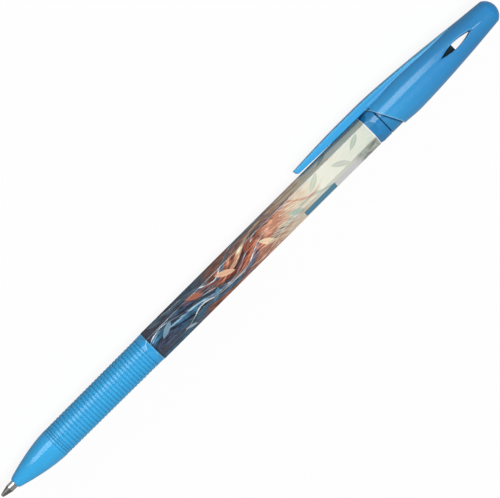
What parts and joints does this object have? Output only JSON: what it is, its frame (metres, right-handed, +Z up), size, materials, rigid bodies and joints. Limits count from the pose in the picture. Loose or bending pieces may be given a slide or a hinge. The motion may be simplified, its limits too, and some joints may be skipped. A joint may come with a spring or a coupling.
{
  "type": "ballpoint pen",
  "caption": "Stick ballpoint pen lying on its side, with a ribbed grip, a six-sided printed barrel and its clip cap pushed on the rear.",
  "frame": {"origin": "under the middle of the lying pen, on the surface it rests on", "axes": "+Z up, +X along the pen towards the writing tip, -Y the side that the clip points to as it rests on the surface"},
  "size_m": [0.1586, 0.011, 0.0096],
  "materials": {
    "barrel_blue": "gloss",
    "grip_rubber": "satin",
    "printed_film": "gloss",
    "plug_dark": "satin",
    "tube_clear": "translucent",
    "ink_blue": "wet",
    "holder_white": "satin",
    "point_metal": "turned",
    "ball_metal": "polished",
    "cap_blue": "gloss"
  },
  "bodies": {
    "pen": {"barrel": "barrel_blue", "grip_sleeve": "grip_rubber", "print_film": "printed_film", "end_plug": "plug_dark", "refill_tube": "tube_clear", "ink_column": "ink_blue", "tip_holder": "holder_white", "point": "point_metal"},
    "ball": {"writing_ball": "ball_metal"},
    "cap": {"cap": "cap_blue"}
  },
  "joints": [
    {"name": "cap_slide", "type": "slide", "parent": "pen", "child": "cap", "axis": [-1, 0, 0.0093], "range_m": [0, 0.05]},
    {"name": "ball_roll", "type": "hinge", "parent": "pen", "child": "ball", "pos_m": [0.079, 0.00067, 0.0036], "axis": [0, 1, 0], "continuous": true}
  ]
}
